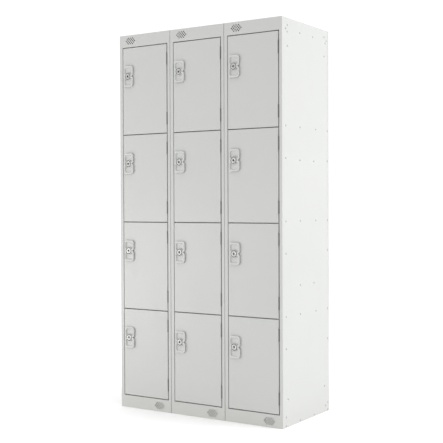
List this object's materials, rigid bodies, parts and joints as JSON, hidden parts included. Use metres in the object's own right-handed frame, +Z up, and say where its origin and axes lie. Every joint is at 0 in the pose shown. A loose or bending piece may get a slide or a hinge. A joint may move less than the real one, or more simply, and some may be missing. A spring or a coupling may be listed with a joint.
{
  "type": "locker cabinet",
  "caption": "Steel locker cabinet: columns of stacked compartments, each with its own hinged door, finger-pull lock plate and key lock.",
  "frame": {"origin": "on the floor, midway between the two sides and midway between the back panel and the foremost face of the locks", "axes": "+Z up, +Y towards the back, so the doors face -Y; +X to the right of a user who faces the doors"},
  "size_m": [0.9, 0.4596, 1.8],
  "materials": {
    "carcase_paint": "fine satin powder coat, light grey",
    "door_paint": "fine satin powder coat, light grey",
    "lock_plate": "satin, light grey",
    "lock_metal": "nickel-plated",
    "hinge_steel": "zinc-plated"
  },
  "bodies": {
    "carcase": {"side_panel_left": "carcase_paint", "side_panel_right": "carcase_paint", "base_tray": "carcase_paint", "back_panel": "carcase_paint", "front_frame_b1": "carcase_paint", "hinge_strip_b1": "hinge_steel", "top_tray_b1": "carcase_paint", "front_frame_b2": "carcase_paint", "hinge_strip_b2": "hinge_steel", "top_tray_b2": "carcase_paint", "front_frame_b3": "carcase_paint", "hinge_strip_b3": "hinge_steel", "top_tray_b3": "carcase_paint", "partition_b1_b2": "carcase_paint", "partition_b2_b3": "carcase_paint", "shelf_b1_t2": "carcase_paint", "shelf_b1_t3": "carcase_paint", "shelf_b1_t4": "carcase_paint", "shelf_b2_t2": "carcase_paint", "shelf_b2_t3": "carcase_paint", "shelf_b2_t4": "carcase_paint", "shelf_b3_t2": "carcase_paint", "shelf_b3_t3": "carcase_paint", "shelf_b3_t4": "carcase_paint"},
    "door_b1_t1": {"door_b1_t1": "door_paint", "lock_plate_b1_t1": "lock_plate"},
    "lock_b1_t1": {"lock_barrel_b1_t1": "lock_metal"},
    "door_b1_t2": {"door_b1_t2": "door_paint", "lock_plate_b1_t2": "lock_plate"},
    "lock_b1_t2": {"lock_barrel_b1_t2": "lock_metal"},
    "door_b1_t3": {"door_b1_t3": "door_paint", "lock_plate_b1_t3": "lock_plate"},
    "lock_b1_t3": {"lock_barrel_b1_t3": "lock_metal"},
    "door_b1_t4": {"door_b1_t4": "door_paint", "lock_plate_b1_t4": "lock_plate"},
    "lock_b1_t4": {"lock_barrel_b1_t4": "lock_metal"},
    "door_b2_t1": {"door_b2_t1": "door_paint", "lock_plate_b2_t1": "lock_plate"},
    "lock_b2_t1": {"lock_barrel_b2_t1": "lock_metal"},
    "door_b2_t2": {"door_b2_t2": "door_paint", "lock_plate_b2_t2": "lock_plate"},
    "lock_b2_t2": {"lock_barrel_b2_t2": "lock_metal"},
    "door_b2_t3": {"door_b2_t3": "door_paint", "lock_plate_b2_t3": "lock_plate"},
    "lock_b2_t3": {"lock_barrel_b2_t3": "lock_metal"},
    "door_b2_t4": {"door_b2_t4": "door_paint", "lock_plate_b2_t4": "lock_plate"},
    "lock_b2_t4": {"lock_barrel_b2_t4": "lock_metal"},
    "door_b3_t1": {"door_b3_t1": "door_paint", "lock_plate_b3_t1": "lock_plate"},
    "lock_b3_t1": {"lock_barrel_b3_t1": "lock_metal"},
    "door_b3_t2": {"door_b3_t2": "door_paint", "lock_plate_b3_t2": "lock_plate"},
    "lock_b3_t2": {"lock_barrel_b3_t2": "lock_metal"},
    "door_b3_t3": {"door_b3_t3": "door_paint", "lock_plate_b3_t3": "lock_plate"},
    "lock_b3_t3": {"lock_barrel_b3_t3": "lock_metal"},
    "door_b3_t4": {"door_b3_t4": "door_paint", "lock_plate_b3_t4": "lock_plate"},
    "lock_b3_t4": {"lock_barrel_b3_t4": "lock_metal"}
  },
  "joints": [
    {"name": "door_swing_b1_t1", "type": "hinge", "parent": "carcase", "child": "door_b1_t1", "pos_m": [-0.1685, -0.21835, 1.53], "axis": [0, 0, 1], "range_deg": [0, 110]},
    {"name": "lock_turn_b1_t1", "type": "hinge", "parent": "door_b1_t1", "child": "lock_b1_t1", "pos_m": [-0.3945, -0.22025, 1.6015], "axis": [0, 1, 0], "range_deg": [0, 90]},
    {"name": "door_swing_b1_t2", "type": "hinge", "parent": "carcase", "child": "door_b1_t2", "pos_m": [-0.1685, -0.21835, 1.11], "axis": [0, 0, 1], "range_deg": [0, 110]},
    {"name": "lock_turn_b1_t2", "type": "hinge", "parent": "door_b1_t2", "child": "lock_b1_t2", "pos_m": [-0.3945, -0.22025, 1.1815], "axis": [0, 1, 0], "range_deg": [0, 90]},
    {"name": "door_swing_b1_t3", "type": "hinge", "parent": "carcase", "child": "door_b1_t3", "pos_m": [-0.1685, -0.21835, 0.69], "axis": [0, 0, 1], "range_deg": [0, 110]},
    {"name": "lock_turn_b1_t3", "type": "hinge", "parent": "door_b1_t3", "child": "lock_b1_t3", "pos_m": [-0.3945, -0.22025, 0.7615], "axis": [0, 1, 0], "range_deg": [0, 90]},
    {"name": "door_swing_b1_t4", "type": "hinge", "parent": "carcase", "child": "door_b1_t4", "pos_m": [-0.1685, -0.21835, 0.27], "axis": [0, 0, 1], "range_deg": [0, 110]},
    {"name": "lock_turn_b1_t4", "type": "hinge", "parent": "door_b1_t4", "child": "lock_b1_t4", "pos_m": [-0.3945, -0.22025, 0.3415], "axis": [0, 1, 0], "range_deg": [0, 90]},
    {"name": "door_swing_b2_t1", "type": "hinge", "parent": "carcase", "child": "door_b2_t1", "pos_m": [0.1315, -0.21835, 1.53], "axis": [0, 0, 1], "range_deg": [0, 110]},
    {"name": "lock_turn_b2_t1", "type": "hinge", "parent": "door_b2_t1", "child": "lock_b2_t1", "pos_m": [-0.0945, -0.22025, 1.6015], "axis": [0, 1, 0], "range_deg": [0, 90]},
    {"name": "door_swing_b2_t2", "type": "hinge", "parent": "carcase", "child": "door_b2_t2", "pos_m": [0.1315, -0.21835, 1.11], "axis": [0, 0, 1], "range_deg": [0, 110]},
    {"name": "lock_turn_b2_t2", "type": "hinge", "parent": "door_b2_t2", "child": "lock_b2_t2", "pos_m": [-0.0945, -0.22025, 1.1815], "axis": [0, 1, 0], "range_deg": [0, 90]},
    {"name": "door_swing_b2_t3", "type": "hinge", "parent": "carcase", "child": "door_b2_t3", "pos_m": [0.1315, -0.21835, 0.69], "axis": [0, 0, 1], "range_deg": [0, 110]},
    {"name": "lock_turn_b2_t3", "type": "hinge", "parent": "door_b2_t3", "child": "lock_b2_t3", "pos_m": [-0.0945, -0.22025, 0.7615], "axis": [0, 1, 0], "range_deg": [0, 90]},
    {"name": "door_swing_b2_t4", "type": "hinge", "parent": "carcase", "child": "door_b2_t4", "pos_m": [0.1315, -0.21835, 0.27], "axis": [0, 0, 1], "range_deg": [0, 110]},
    {"name": "lock_turn_b2_t4", "type": "hinge", "parent": "door_b2_t4", "child": "lock_b2_t4", "pos_m": [-0.0945, -0.22025, 0.3415], "axis": [0, 1, 0], "range_deg": [0, 90]},
    {"name": "door_swing_b3_t1", "type": "hinge", "parent": "carcase", "child": "door_b3_t1", "pos_m": [0.4315, -0.21835, 1.53], "axis": [0, 0, 1], "range_deg": [0, 110]},
    {"name": "lock_turn_b3_t1", "type": "hinge", "parent": "door_b3_t1", "child": "lock_b3_t1", "pos_m": [0.2055, -0.22025, 1.6015], "axis": [0, 1, 0], "range_deg": [0, 90]},
    {"name": "door_swing_b3_t2", "type": "hinge", "parent": "carcase", "child": "door_b3_t2", "pos_m": [0.4315, -0.21835, 1.11], "axis": [0, 0, 1], "range_deg": [0, 110]},
    {"name": "lock_turn_b3_t2", "type": "hinge", "parent": "door_b3_t2", "child": "lock_b3_t2", "pos_m": [0.2055, -0.22025, 1.1815], "axis": [0, 1, 0], "range_deg": [0, 90]},
    {"name": "door_swing_b3_t3", "type": "hinge", "parent": "carcase", "child": "door_b3_t3", "pos_m": [0.4315, -0.21835, 0.69], "axis": [0, 0, 1], "range_deg": [0, 110]},
    {"name": "lock_turn_b3_t3", "type": "hinge", "parent": "door_b3_t3", "child": "lock_b3_t3", "pos_m": [0.2055, -0.22025, 0.7615], "axis": [0, 1, 0], "range_deg": [0, 90]},
    {"name": "door_swing_b3_t4", "type": "hinge", "parent": "carcase", "child": "door_b3_t4", "pos_m": [0.4315, -0.21835, 0.27], "axis": [0, 0, 1], "range_deg": [0, 110]},
    {"name": "lock_turn_b3_t4", "type": "hinge", "parent": "door_b3_t4", "child": "lock_b3_t4", "pos_m": [0.2055, -0.22025, 0.3415], "axis": [0, 1, 0], "range_deg": [0, 90]}
  ]
}
